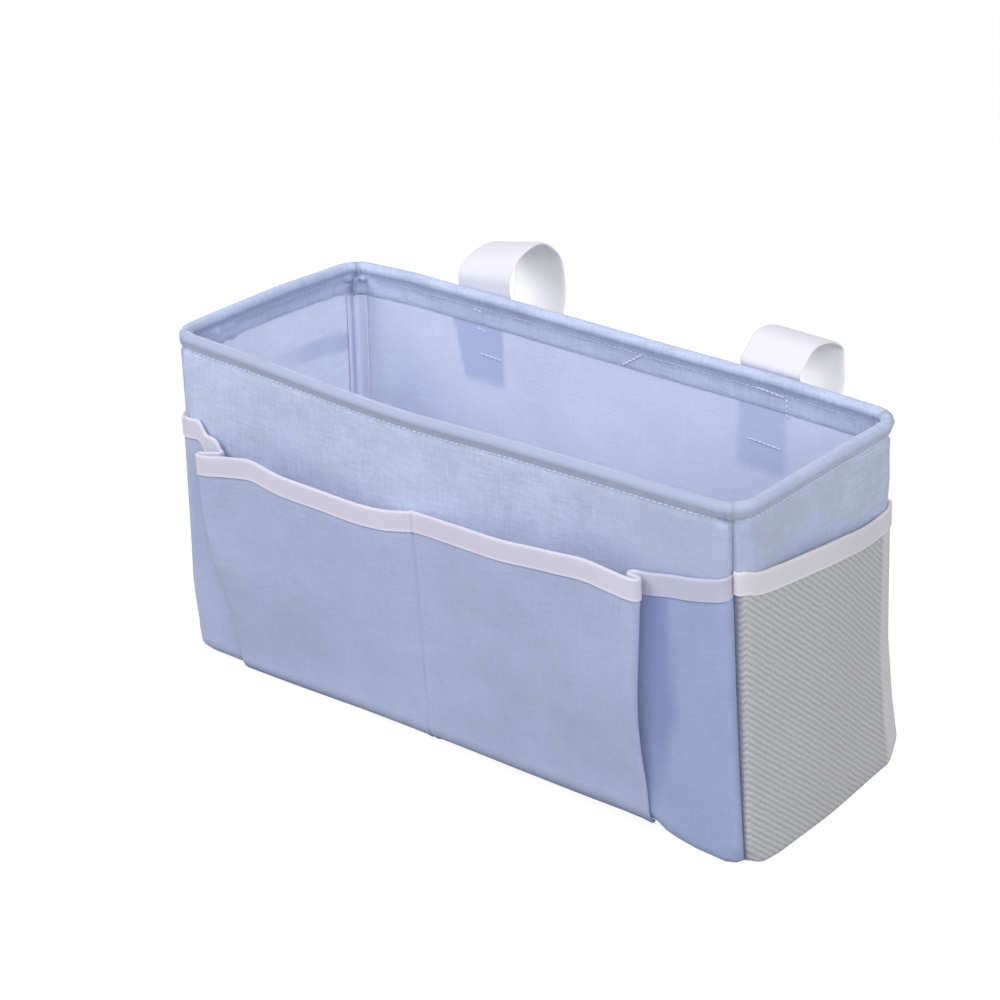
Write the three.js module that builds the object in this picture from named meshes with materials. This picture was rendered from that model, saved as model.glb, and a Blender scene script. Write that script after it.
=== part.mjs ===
import * as THREE from 'three';

// Hanging pocket organizer: an open-top fabric caddy on a steel wire rim, with a pleated front pocket,
// a mesh pocket on each end and two hook-and-loop hanging straps behind.
// X runs along the long side, Y from the front pocket to the back, Z up.
// The origin is the centre of the base, on its underside. Sizes are in millimetres.

// Driving dimensions of the bag
const rimLength = 322;
const rimWidth = 122;
const rimHeight = 167;
const rimCornerRadius = 12;
const rimFrontBow = 3;
const wireDiameter = 4;
const cloth = 1;
const baseLength = 333;
const baseFrontTaper = 3.5;
const baseCornerRadius = 6;
const baseEdgeRadius = 9;
const baseEndEdgeRadius = 6;
const baseEdgeTurn = 75;

// Hem folded over the wire
const hemStitchDrop = 7.2;
const hemFlapDrop = 14;

// Seams and base
const seamTapeWidth = 8;
const seamTapeThickness = 1.6;
const baseTapeThickness = 1;
const boardThickness = 1.5;

// Front pocket: drops are of the mouth edge below the rim wire, places are measured along X
const pocketCloth = 1;
const pocketEdgeTurn = 35;
const dividerPlace = -12;
const dividerDrop = 46.5;
const pocketGape = 6.5;
const pocketMouthBow = 5;
const pleatPitchMouth = 4;
const pleatPitchBase = 1.6;
const leftPleat = {
  side: -1, innerFold: 132, outerFold: 144, innerFoldBase: 118, outerFoldBase: 130,
  seamDrop: 42, innerDrop: 48.5, outerDrop: 52,
};
const rightPleat = {
  side: 1, innerFold: 113, outerFold: 121, innerFoldBase: 101, outerFoldBase: 118.5,
  seamDrop: 30, innerDrop: 37.5, outerDrop: 38.5,
};

// End pockets: drops of the mouth edge below the rim wire at the front and back seams
const meshThickness = 0.8;
const meshGape = 7;
const meshMouths = {
  left: { frontDrop: 43, backDrop: 35 },
  right: { frontDrop: 28, backDrop: 40 },
};

// Binding tape on the pocket mouths
const tapeWidth = 11;
const tapeThickness = 0.7;

// Hanging straps: drops are below the rim wire, rises above it
const strapWidth = 32;
const strapThickness = 1.4;
const patchThickness = 1;
const strapReach = 41;
const strapRootDrop = 41;
const strapStuckDrop = 15;
const strapTouchDrop = 36;
const strapLoopDrop = 40.5;
const loopPatchInset = 2;
const hookPatchInset = 6;
const leftStrap = { place: -77, rise: 20 };
const rightStrap = { place: 89, rise: 14.5 };

// Clearance between pieces that touch, and how finely curves are divided
const clearance = 0.3;
const cornerSteps = 3;
const spanSteps = 8;
const wireSides = 10;
const foldSteps = 4;

// Colours of the materials
const linenBlue = 0xa9b4d4;
const meshGrey = 0xb0b1b5;
const tapeWhite = 0xe2e2ec;
const webbingWhite = 0xf0eff8;
const steelGrey = 0x9a9da2;

// Worked-out sizes: the wire runs midway between the hem's outer and inner ply
const wireRadius = wireDiameter / 2;
const wireDepth = cloth + clearance / 2;
const rimOuterX = rimLength / 2 + wireDepth;
const rimOuterY = rimWidth / 2 + wireDepth;
const rimOuterRadius = rimCornerRadius + wireDepth;
const sharpRadius = 0.4;
const cornerGap = clearance * 0.75;
const panelTop = rimHeight - hemStitchDrop - clearance;
const dividerMouth = rimHeight - dividerDrop;
const strapRootHeight = rimHeight - strapRootDrop;
const strapStuckHeight = rimHeight - strapStuckDrop;
const strapTouchHeight = rimHeight - strapTouchDrop;

const degrees = Math.PI / 180;
const lerp = THREE.MathUtils.lerp;

// The four sides, in order round the bag seen from above: travel is the direction along the wall,
// out is its outward direction, and before and after are the sides at its two corners.
const sides = {
  front: { travel: [1, 0], out: [0, -1], before: 'left', after: 'right', edgeRadius: baseEdgeRadius },
  right: { travel: [0, 1], out: [1, 0], before: 'front', after: 'back', edgeRadius: baseEndEdgeRadius },
  back: { travel: [-1, 0], out: [0, 1], before: 'right', after: 'left', edgeRadius: baseEdgeRadius },
  left: { travel: [0, -1], out: [-1, 0], before: 'back', after: 'front', edgeRadius: baseEndEdgeRadius },
};

// Distance of a wall's outer face from the centre plane: the ends flare towards the base,
// the front leans in a little and the back hangs plumb.
function faceDistance(side, height) {
  const drop = 1 - height / rimHeight;
  if (side === 'front') return rimOuterY - baseFrontTaper * drop;
  if (side === 'back') return rimOuterY;
  return rimOuterX + (baseLength / 2 - rimOuterX) * drop * drop;
}

function cornerRadius(height) {
  return lerp(baseCornerRadius, rimOuterRadius, height / rimHeight);
}

// Half of the straight run of a wall towards one of its corners
function straightRun(side, sign, height, depth = 0) {
  const reach = faceDistance(sign < 0 ? sides[side].before : sides[side].after, height);
  return reach - depth - Math.max(cornerRadius(height) - depth, sharpRadius);
}

// A point of a wall. The station runs from -1 to 1 over the straight run, and to -2 or 2
// round the corner, where the wall meets its neighbour at 45 degrees. Depth is inwards.
function wallPoint(side, station, height, depth, gap = cornerGap) {
  const { travel, out } = sides[side];
  const sign = Math.sign(station);
  const far = Math.abs(station);
  const run = straightRun(side, sign, height, depth);
  const radius = Math.max(cornerRadius(height) - depth, sharpRadius);
  const bow = side === 'front' ? rimFrontBow * (height / rimHeight) ** 2 : 0;
  let along = sign * run * Math.min(far, 1);
  let outward = faceDistance(side, height) - depth + bow * Math.max(1 - far * far, 0);
  if (far > 1) {
    const turn = (far - 1) * 45 * degrees;
    along += sign * (radius * Math.sin(turn) - gap);
    outward -= radius * (1 - Math.cos(turn));
  }
  return [travel[0] * along + out[0] * outward, travel[1] * along + out[1] * outward];
}

// Station of a place given in millimetres along the wall, with the corner arc rolled out flat
function stationAt(side, place, height) {
  const run = straightRun(side, Math.sign(place), height);
  const arc = cornerRadius(height) * 45 * degrees;
  const far = Math.abs(place);
  return Math.sign(place) * (far <= run ? far / run : Math.min(1 + (far - run) / arc, 2));
}

function seamPlace(side, sign, height) {
  return straightRun(side, sign, height) + cornerRadius(height) * 45 * degrees;
}

// A level of the wall's upright outline: its rounded lower edge turns in under the base by the tilt
function edgeLevel(side, tilt) {
  const radius = sides[side].edgeRadius;
  return {
    height: radius * (1 - Math.sin(tilt * degrees)),
    inset: radius * (1 - Math.cos(tilt * degrees)),
    tilt: tilt * degrees,
  };
}

function plainLevel(height) {
  return { height, inset: 0, tilt: 0 };
}

function surfacePoint(side, station, level, depth) {
  const inward = level.inset + depth * Math.cos(level.tilt);
  const [x, y] = wallPoint(side, station, level.height, inward);
  return new THREE.Vector3(x, y, level.height + depth * Math.sin(level.tilt));
}

// Stations from one corner seam of a wall to the other
function wallStations() {
  const stations = [];
  for (let i = cornerSteps; i > 0; i -= 1) stations.push(-1 - i / cornerSteps);
  for (let i = 0; i <= spanSteps; i += 1) stations.push(-1 + (2 * i) / spanSteps);
  for (let i = 1; i <= cornerSteps; i += 1) stations.push(1 + i / cornerSteps);
  return stations;
}

// Both faces of a strip of the given thickness along a flat line of [x, y] points
function ribbon(line, thickness) {
  const left = [];
  const right = [];
  line.forEach((point, i) => {
    const before = line[Math.max(i - 1, 0)];
    const after = line[Math.min(i + 1, line.length - 1)];
    const a = new THREE.Vector2(point[0] - before[0], point[1] - before[1]).normalize();
    const b = new THREE.Vector2(after[0] - point[0], after[1] - point[1]).normalize();
    if (i === 0) a.copy(b);
    if (i === line.length - 1) b.copy(a);
    const normal = new THREE.Vector2(-(a.y + b.y), a.x + b.x).normalize();
    const mitre = Math.max(Math.abs(normal.x * -a.y + normal.y * a.x), 0.5);
    const half = thickness / 2 / mitre;
    left.push([point[0] + normal.x * half, point[1] + normal.y * half]);
    right.push([point[0] - normal.x * half, point[1] - normal.y * half]);
  });
  return { left, right };
}

// A closed solid through a row of sections. Each section is a ring of points, made of a left face
// and a right face of equal length; the first and last are capped unless the row closes on itself.
function solidThrough(sections, closes = false) {
  const rings = sections.map(({ left, right }) => [...left, ...right.slice().reverse()]);
  const count = rings[0].length;
  const positions = rings.flat().flatMap((p) => [p.x, p.y, p.z]);
  const index = [];
  const steps = closes ? rings.length : rings.length - 1;
  for (let i = 0; i < steps; i += 1) {
    const here = i * count;
    const next = ((i + 1) % rings.length) * count;
    for (let j = 0; j < count; j += 1) {
      const k = (j + 1) % count;
      index.push(here + j, next + j, next + k, here + j, next + k, here + k);
    }
  }
  if (!closes) {
    const last = (rings.length - 1) * count;
    for (let j = 0; j < count / 2 - 1; j += 1) {
      const far = count - 1 - j;
      index.push(j, j + 1, far - 1, j, far - 1, far);
      index.push(last + j, last + far - 1, last + j + 1, last + j, last + far, last + far - 1);
    }
  }
  const geometry = new THREE.BufferGeometry();
  geometry.setAttribute('position', new THREE.Float32BufferAttribute(positions, 3));
  geometry.setIndex(signedVolume(positions, index) < 0 ? flipped(index) : index);
  geometry.computeVertexNormals();
  return geometry;
}

function signedVolume(positions, index) {
  let volume = 0;
  const corner = (i) => new THREE.Vector3(...positions.slice(3 * i, 3 * i + 3));
  for (let i = 0; i < index.length; i += 3) {
    const [a, b, c] = [corner(index[i]), corner(index[i + 1]), corner(index[i + 2])];
    volume += a.dot(b.cross(c));
  }
  return volume;
}

function flipped(index) {
  const turned = [];
  for (let i = 0; i < index.length; i += 3) turned.push(index[i], index[i + 2], index[i + 1]);
  return turned;
}

const organizer = new THREE.Group();
organizer.name = 'hanging_pocket_organizer';

function addPiece(name, geometry, color, roughness, metalness = 0) {
  const material = new THREE.MeshStandardMaterial({ color, roughness, metalness });
  const mesh = new THREE.Mesh(geometry, material);
  mesh.name = name;
  organizer.add(mesh);
}

// A piece of wall between two depths, over the given levels and stations
function wallSheet(side, stations, levels, outerDepth, innerDepth) {
  return solidThrough(stations.map((station) => ({
    left: levels.map((level) => surfacePoint(side, station, level, outerDepth)),
    right: levels.map((level) => surfacePoint(side, station, level, innerDepth)),
  })));
}

// Steel rim wire, one closed ring inside the hem
function rimWire() {
  const sections = [];
  Object.keys(sides).forEach((side) => {
    wallStations().slice(0, -1).forEach((station) => {
      const [x, y] = wallPoint(side, station, rimHeight, wireDepth, 0);
      const [nearX, nearY] = wallPoint(side, station, rimHeight, wireDepth + 1, 0);
      const inward = new THREE.Vector2(nearX - x, nearY - y).normalize();
      const ring = [];
      for (let i = 0; i < wireSides; i += 1) {
        const angle = (2 * Math.PI * i) / wireSides;
        const reach = wireRadius * Math.cos(angle);
        const lift = wireRadius * Math.sin(angle);
        ring.push(new THREE.Vector3(x + inward.x * reach, y + inward.y * reach, rimHeight + lift));
      }
      sections.push({ left: ring, right: [] });
    });
  });
  return solidThrough(sections, true);
}

// Hem of one wall: up the outside, over the wire and down inside as a flap
function rimCasing(side) {
  const foldRadius = wireRadius + clearance + cloth / 2;
  const line = [[cloth / 2, rimHeight - hemStitchDrop]];
  for (let angle = -30; angle <= 210; angle += 30) {
    const depth = wireDepth - foldRadius * Math.cos(angle * degrees);
    line.push([depth, rimHeight + foldRadius * Math.sin(angle * degrees)]);
  }
  const flapDepth = cloth + clearance + cloth / 2;
  line.push([flapDepth, rimHeight - hemStitchDrop], [flapDepth, rimHeight - hemFlapDrop]);
  const fold = ribbon(line, cloth);
  const place = (station) => ([depth, height]) => {
    const [x, y] = wallPoint(side, station, Math.min(height, rimHeight), depth);
    return new THREE.Vector3(x, y, height);
  };
  return solidThrough(wallStations().map((station) => ({
    left: fold.left.map(place(station)),
    right: fold.right.map(place(station)),
  })));
}

// Wall panel: from the hem stitching down and round the base edge to the base seam
function wallPanel(side) {
  const levels = [edgeLevel(side, baseEdgeTurn), edgeLevel(side, 50), edgeLevel(side, 25)];
  const foot = sides[side].edgeRadius;
  for (let i = 0; i <= 5; i += 1) levels.push(plainLevel(lerp(foot, panelTop, i / 5)));
  return wallSheet(side, wallStations(), levels, 0, cloth);
}

// Seam allowance at an upright corner, bound with tape and laid against the end wall
function cornerSeamTape(side, sign) {
  const outer = cloth + clearance;
  const bottom = sides[side].edgeRadius + 5;
  const top = rimHeight - hemFlapDrop - 2;
  const levels = [0, 0.33, 0.67, 1].map((t) => plainLevel(lerp(bottom, top, t)));
  const inner = 1 - seamTapeWidth / straightRun(side, sign, rimHeight / 2);
  const stations = [1.8, 1.4, 1, inner].map((station) => sign * station);
  return wallSheet(side, stations, levels, outer, outer + seamTapeThickness);
}

// A flat plate with round corners, inset from the outer faces of the base
function basePlate(insetEnds, insetSides, bottom, thickness, opening = 0) {
  const halfX = baseLength / 2 - insetEnds;
  const front = -faceDistance('front', 0) + insetSides;
  const back = faceDistance('back', 0) - insetSides;
  const radius = baseCornerRadius;
  const plate = roundedOutline(halfX, front, back, radius);
  if (opening) {
    plate.holes.push(roundedOutline(halfX - opening, front + opening, back - opening, radius));
  }
  const settings = { depth: thickness, bevelEnabled: false, curveSegments: cornerSteps };
  return new THREE.ExtrudeGeometry(plate, settings).translate(0, 0, bottom);
}

function roundedOutline(halfX, front, back, radius) {
  const outline = new THREE.Shape();
  outline.moveTo(-halfX + radius, front);
  outline.lineTo(halfX - radius, front);
  outline.absarc(halfX - radius, front + radius, radius, -Math.PI / 2, 0, false);
  outline.lineTo(halfX, back - radius);
  outline.absarc(halfX - radius, back - radius, radius, 0, Math.PI / 2, false);
  outline.lineTo(-halfX + radius, back);
  outline.absarc(-halfX + radius, back - radius, radius, Math.PI / 2, Math.PI, false);
  outline.lineTo(-halfX, front + radius);
  outline.absarc(-halfX + radius, front + radius, radius, Math.PI, 1.5 * Math.PI, false);
  return outline;
}

// Half of the front pocket's mouth in plan, from its corner seam to the centre seam: an inner ply,
// a fold back, a middle ply, a fold forward and the gaping main ply. The rise is 0 at the foot
// and 1 at the mouth. Each point is [place along X, stand-off, mouth height].
function pocketHalf(pleat, rise, height) {
  const { side } = pleat;
  const [seamMouth, innerMouth, outerMouth] = [pleat.seamDrop, pleat.innerDrop, pleat.outerDrop]
    .map((drop) => rimHeight - drop);
  const open = Math.sqrt(rise);
  const fold = lerp(pleatPitchBase, pleatPitchMouth, open) / 2;
  const bound = pocketCloth / 2 + clearance;
  const ply = lerp(bound, bound + clearance + tapeThickness, open);
  const innerFold = lerp(pleat.innerFoldBase, pleat.innerFold, rise);
  const outerFold = lerp(pleat.outerFoldBase, pleat.outerFold, rise);
  const seam = seamPlace('front', side, height);
  const run = straightRun('front', side, height);
  const points = [];
  for (let i = 0; i <= cornerSteps; i += 1) points.push([lerp(seam, run, i / cornerSteps), ply, seamMouth]);
  points.push([lerp(run, innerFold + fold, 0.5), ply, lerp(seamMouth, innerMouth, 0.5)]);
  for (let i = 0; i <= foldSteps; i += 1) {
    const turn = (Math.PI * i) / foldSteps;
    const place = innerFold + fold - fold * Math.sin(turn);
    points.push([place, ply + fold * (1 - Math.cos(turn)), innerMouth]);
  }
  for (let i = 0; i <= foldSteps; i += 1) {
    const turn = (Math.PI * i) / foldSteps;
    const place = outerFold - fold + fold * Math.sin(turn);
    points.push([place, ply + 2 * fold + fold * (1 - Math.cos(turn)), outerMouth]);
  }
  for (let i = 1; i <= spanSteps; i += 1) {
    const t = i / spanSteps;
    const ease = THREE.MathUtils.smoothstep(t, 0, 1);
    const gape = pocketGape * open * Math.sin(Math.PI * t);
    const mouth = lerp(outerMouth, dividerMouth, ease) + pocketMouthBow * Math.sin(Math.PI * t);
    points.push([lerp(outerFold - fold, side * dividerPlace, t), lerp(ply + 4 * fold, ply, ease) + gape, mouth]);
  }
  return points.map(([place, standOff, mouth]) => [side * place, standOff, mouth]);
}

function pocketLine(rise, height) {
  const leftHalf = pocketHalf(leftPleat, rise, height);
  const rightHalf = pocketHalf(rightPleat, rise, height).reverse();
  return [...leftHalf, ...rightHalf.slice(1)];
}

// Cloth of a pocket: rows from the foot, which turns in with the base edge, up to the mouth.
// The line function gives the plan of the pocket at a rise and a height.
function pocketSheet(side, line, thickness) {
  const foot = sides[side].edgeRadius;
  const rows = [pocketEdgeTurn, pocketEdgeTurn / 2].map((tilt) => ({ rise: 0, level: () => edgeLevel(side, tilt) }));
  [0, 0.1, 0.3, 0.6, 1].forEach((rise) => {
    const tapeFoot = (mouth) => mouth - tapeWidth - 2;
    rows.push({ rise, level: (mouth) => plainLevel(lerp(foot, tapeFoot(mouth), rise)) });
  });
  rows.push({ rise: 1, level: (mouth) => plainLevel(mouth - tapeThickness - clearance) });
  return solidThrough(rows.map(({ rise, level }) => {
    const mean = level(dividerMouth).height;
    const points = line(rise, mean);
    const { left, right } = ribbon(points, thickness);
    const place = ([along, standOff], i) => {
      const at = level(points[i][2]);
      return surfacePoint(side, stationAt(side, along, at.height), at, -standOff);
    };
    return { left: left.map(place), right: right.map(place) };
  }));
}

// Binding tape: a channel folded over the mouth edge of a pocket
function mouthBinding(side, line, thickness) {
  const points = line(1, dividerMouth);
  const inner = thickness / 2 + clearance;
  const outer = inner + tapeThickness;
  const wrap = [[-outer, -tapeWidth], [-outer, 0], [outer, 0], [outer, -tapeWidth]];
  const lining = [[-inner, -tapeWidth], [-inner, -tapeThickness], [inner, -tapeThickness], [inner, -tapeWidth]];
  const spread = ribbon(points, 2);
  return solidThrough(points.map((point, i) => {
    const place = ([across, lift]) => {
      const along = point[0] + (spread.left[i][0] - point[0]) * across;
      const standOff = point[1] + (spread.left[i][1] - point[1]) * across;
      const level = plainLevel(point[2] + lift);
      return surfacePoint(side, stationAt(side, along, level.height), level, -standOff);
    };
    return { left: wrap.map(place), right: lining.map(place) };
  }));
}

// Plan of an end pocket's mouth, from one corner seam to the other
function meshLine(side, rise, height) {
  const open = Math.sqrt(rise);
  const bound = meshThickness / 2 + clearance;
  const ply = lerp(bound, bound + clearance + tapeThickness, open);
  const { frontDrop, backDrop } = meshMouths[side];
  const drops = side === 'right' ? [frontDrop, backDrop] : [backDrop, frontDrop];
  const start = -seamPlace(side, -1, height);
  const end = seamPlace(side, 1, height);
  return wallStations().map((station) => {
    const sign = Math.sign(station);
    const run = straightRun(side, sign, height);
    const arc = cornerRadius(height) * 45 * degrees;
    const far = Math.abs(station);
    const place = sign * (far <= 1 ? far * run : run + (far - 1) * arc);
    const t = (place - start) / (end - start);
    const belly = far <= 1 ? Math.cos((station * Math.PI) / 2) : 0;
    return [place, ply + meshGape * open * belly, rimHeight - lerp(drops[0], drops[1], t)];
  });
}

// Side outline of a strap as one curve, in Y and Z: up the back wall, over the crown,
// down behind and up again against its own root.
function strapCurve(rise) {
  const back = faceDistance('back', 0);
  const rootLine = clearance + strapThickness / 2;
  const stuckLine = 4 * clearance + strapThickness * 1.5 + 2 * patchThickness;
  const bulge = wireRadius + clearance + cloth - wireDepth + clearance + strapThickness / 2;
  const points = [
    [rootLine, strapRootHeight],
    [rootLine, strapStuckHeight],
    [bulge, rimHeight - wireRadius - cloth],
    [bulge + 1.2, rimHeight + wireRadius + cloth],
    [strapReach * 0.23, rimHeight + rise * 0.72],
    [strapReach * 0.43, rimHeight + rise],
    [strapReach * 0.66, rimHeight + rise * 0.9],
    [strapReach * 0.86, rimHeight + rise * 0.52],
    [strapReach * 0.98, rimHeight],
    [strapReach, rimHeight - strapLoopDrop * 0.25],
    [strapReach * 0.93, rimHeight - strapLoopDrop * 0.54],
    [strapReach * 0.74, rimHeight - strapLoopDrop * 0.81],
    [strapReach * 0.46, rimHeight - strapLoopDrop],
    [strapReach * 0.24, rimHeight - strapLoopDrop * 0.99],
    ...[0, 0.2, 0.6, 1].map((t) => [stuckLine, lerp(strapTouchHeight, strapStuckHeight, t)]),
  ];
  return points.map(([reach, height]) => new THREE.Vector3(0, back + reach, height));
}

// Both faces of a stretch of strap, square to its curve
function strapFaces(curve, from, to, steps) {
  const left = [];
  const right = [];
  for (let i = 0; i <= steps; i += 1) {
    const share = lerp(from, to, i / steps);
    const centre = curve.getPoint(share);
    const tangent = curve.getTangent(share);
    const half = strapThickness / 2;
    left.push([centre.y - tangent.z * half, centre.z + tangent.y * half]);
    right.push([centre.y + tangent.z * half, centre.z - tangent.y * half]);
  }
  return { left, right };
}

// Splits the strap at its crown, with half a clearance on each side of the hinge line
function strapHalves(rise) {
  const points = strapCurve(rise);
  const crown = 5 / (points.length - 1);
  const curve = new THREE.CatmullRomCurve3(points);
  const nudge = clearance / 2 / (curve.getPoint(crown + 0.01).distanceTo(curve.getPoint(crown)) * 100);
  return {
    root: strapFaces(curve, 0, crown - nudge, 14),
    tail: strapFaces(curve, crown + nudge, 1, 26),
  };
}

function strapSolid(strap, { left, right }) {
  const edge = (x) => ({
    left: left.map(([y, z]) => new THREE.Vector3(x, y, z)),
    right: right.map(([y, z]) => new THREE.Vector3(x, y, z)),
  });
  return solidThrough([edge(strap.place - strapWidth / 2), edge(strap.place + strapWidth / 2)]);
}

// Hook or loop patch, sewn flat on a stretch of strap against the back wall
function strapPatch(strap, layer, bottom, top) {
  const back = faceDistance('back', 0);
  const y = back + clearance * (2 + layer) + strapThickness + patchThickness * (0.5 + layer);
  return strapSolid(strap, ribbon([[y, bottom], [y, top]], patchThickness));
}

addPiece('rim_wire', rimWire(), steelGrey, 0.35, 1);

Object.keys(sides).forEach((side) => {
  addPiece(`rim_casing_${side}`, rimCasing(side), linenBlue, 0.9);
  addPiece(`${side}_panel`, wallPanel(side), linenBlue, 0.9);
});

const edgeInset = (side) => edgeLevel(side, baseEdgeTurn).inset + cloth * Math.cos(baseEdgeTurn * degrees);
const baseInsetEnds = edgeInset('left') + clearance;
const baseInsetSides = edgeInset('front') + clearance;
addPiece('bottom_panel', basePlate(baseInsetEnds, baseInsetSides, 0, cloth), linenBlue, 0.9);

const tapeBottom = cloth + clearance;
const tapeRing = basePlate(baseInsetEnds + clearance, baseInsetSides + clearance, tapeBottom,
  baseTapeThickness, seamTapeWidth);
addPiece('base_seam_tape', tapeRing, tapeWhite, 0.85);

const boardBottom = tapeBottom + baseTapeThickness + clearance;
const board = basePlate(baseInsetEnds - 1.5, baseInsetSides - 1.5, boardBottom, boardThickness);
addPiece('base_board', board, linenBlue, 0.9);

['left', 'right'].forEach((side) => {
  [-1, 1].forEach((sign) => {
    const corner = sign < 0 ? sides[side].before : sides[side].after;
    addPiece(`seam_tape_${side}_${corner}`, cornerSeamTape(side, sign), tapeWhite, 0.85);
  });
});

addPiece('front_pocket', pocketSheet('front', pocketLine, pocketCloth), linenBlue, 0.9);
addPiece('front_pocket_binding', mouthBinding('front', pocketLine, pocketCloth), tapeWhite, 0.85);

['left', 'right'].forEach((side) => {
  const line = (rise, height) => meshLine(side, rise, height);
  addPiece(`${side}_mesh_pocket`, pocketSheet(side, line, meshThickness), meshGrey, 0.8);
  addPiece(`${side}_pocket_binding`, mouthBinding(side, line, meshThickness), tapeWhite, 0.85);
});

Object.entries({ left: leftStrap, right: rightStrap }).forEach(([hand, strap]) => {
  const { root, tail } = strapHalves(strap.rise);
  addPiece(`strap_${hand}_root`, strapSolid(strap, root), webbingWhite, 0.9);
  addPiece(`strap_${hand}_tail`, strapSolid(strap, tail), webbingWhite, 0.9);
  const loopPatch = strapPatch(strap, 0, strapRootHeight + loopPatchInset, strapStuckHeight);
  addPiece(`strap_${hand}_loop_patch`, loopPatch, webbingWhite, 0.95);
  const hookPatch = strapPatch(strap, 1, strapTouchHeight + hookPatchInset, strapStuckHeight);
  addPiece(`strap_${hand}_hook_patch`, hookPatch, webbingWhite, 0.8);
});

export default organizer;
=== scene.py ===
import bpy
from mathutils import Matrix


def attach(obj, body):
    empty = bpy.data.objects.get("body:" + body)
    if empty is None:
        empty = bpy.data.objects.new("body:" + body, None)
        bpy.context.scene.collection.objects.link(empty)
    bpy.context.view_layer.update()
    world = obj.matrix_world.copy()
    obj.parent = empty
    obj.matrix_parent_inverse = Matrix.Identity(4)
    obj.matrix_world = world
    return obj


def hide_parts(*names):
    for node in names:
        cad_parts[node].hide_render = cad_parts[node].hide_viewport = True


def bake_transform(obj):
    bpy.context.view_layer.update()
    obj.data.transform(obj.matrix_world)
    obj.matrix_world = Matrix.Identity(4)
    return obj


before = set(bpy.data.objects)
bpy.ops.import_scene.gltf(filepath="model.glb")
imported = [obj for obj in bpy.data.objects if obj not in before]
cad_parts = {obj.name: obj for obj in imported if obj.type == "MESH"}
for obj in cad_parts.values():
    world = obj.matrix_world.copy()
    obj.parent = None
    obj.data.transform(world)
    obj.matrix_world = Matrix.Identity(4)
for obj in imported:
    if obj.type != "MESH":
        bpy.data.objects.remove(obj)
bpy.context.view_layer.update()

import math

import bpy
import numpy as np
from mathutils import Matrix, Vector

# Studio. The caddy stands on a white floor under even white light, with one broad soft lamp
# to the left in front. A long lens looks down at its right front corner.
camera = bpy.data.cameras.new("camera")
camera.lens = 100.8
camera.sensor_width = 36
eye = bpy.data.objects.new("camera", camera)
bpy.context.scene.collection.objects.link(eye)
eye_right = (0.76590, 0.64245, -0.02558)
eye_up = (-0.25664, 0.34195, 0.90399)
eye_back = (0.58952, -0.68580, 0.42678)
eye_place = (0.743958, -0.884252, 0.650010)
eye_rows = [list(row) for row in zip(eye_right, eye_up, eye_back, eye_place)]
eye.matrix_world = Matrix(eye_rows + [[0, 0, 0, 1]])
bpy.context.scene.camera = eye
bpy.context.scene.view_settings.view_transform = "Standard"


def linear(shade):
    """The linear colour of an sRGB hex value."""
    out = []
    for i in (0, 2, 4):
        c = int(shade[i:i + 2], 16) / 255
        out.append(c / 12.92 if c <= 0.04045 else ((c + 0.055) / 1.055) ** 2.4)
    return (*out, 1)


def add_node(tree, kind, links=None, **settings):
    """Adds a shader node. Links give its inputs, by name or number, a value, an output, or a node
    for its first output."""
    node = tree.nodes.new("ShaderNode" + kind)
    for name, value in settings.items():
        setattr(node, name, value)
    for name, value in (links or {}).items():
        if isinstance(value, bpy.types.Node):
            value = value.outputs[0]
        if isinstance(value, bpy.types.NodeSocket):
            tree.links.new(value, node.inputs[name])
        else:
            node.inputs[name].default_value = value
    return node


def new_finish(name):
    finish = bpy.data.materials.new(name)
    finish.use_nodes = True
    finish.node_tree.nodes.clear()
    return finish, finish.node_tree


def seen_ray(tree):
    """1 where the camera, a reflection or glass sees the surface, and 0 where it lights the object."""
    path = add_node(tree, "LightPath")
    seen = path.outputs["Is Camera Ray"]
    for ray in ("Is Glossy Ray", "Is Transmission Ray"):
        seen = add_node(tree, "Math", {0: seen, 1: path.outputs[ray]}, operation="MAXIMUM")
    return seen


world = bpy.data.worlds.new("studio")
bpy.context.scene.world = world
world.use_nodes = True
sky = world.node_tree
sky.nodes.clear()
sky_light = add_node(sky, "Background", {"Color": (1, 1, 1, 1), "Strength": 0.45})
sky_seen = add_node(sky, "Background", {"Color": (1, 1, 1, 1), "Strength": 1.0})
sky_mix = add_node(sky, "MixShader", {0: seen_ray(sky), 1: sky_light, 2: sky_seen})
add_node(sky, "OutputWorld", {"Surface": sky_mix})

# White paper floor: it shows white, and keeps a faint trace of the caddy's shadow
bpy.ops.object.select_all(action="DESELECT")
bpy.ops.mesh.primitive_plane_add(size=6, location=(0, 0, -0.0006))
floor = bpy.context.object
floor.name = "floor"
paper, tree = new_finish("white_paper")
matt = add_node(tree, "BsdfPrincipled", {"Base Color": linear("f4f4f4"), "Roughness": 0.9})
dull = add_node(tree, "BsdfPrincipled", {"Base Color": linear("a6a6a6"), "Roughness": 0.9})
glow = add_node(tree, "Emission", {"Color": (1, 1, 1, 1), "Strength": 1.03})
shown = add_node(tree, "MixShader", {0: 0.90, 1: matt, 2: glow})
both = add_node(tree, "MixShader", {0: seen_ray(tree), 1: dull, 2: shown})
add_node(tree, "OutputMaterial", {"Surface": both})
floor.data.materials.append(paper)

for name, size, energy, place in (
        ("key_lamp", 1.2, 23.5, (-0.80, -1.15, 1.40)), ("fill_lamp", 1.5, 34, (1.68, -0.97, 1.41))):
    lamp = bpy.data.lights.new(name, "AREA")
    lamp.shape = "SQUARE"
    lamp.size = size
    lamp.energy = energy
    holder = bpy.data.objects.new(name, lamp)
    bpy.context.scene.collection.objects.link(holder)
    holder.location = place
    holder.rotation_euler = (-Vector(place)).to_track_quat("-Z", "Y").to_euler()

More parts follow.
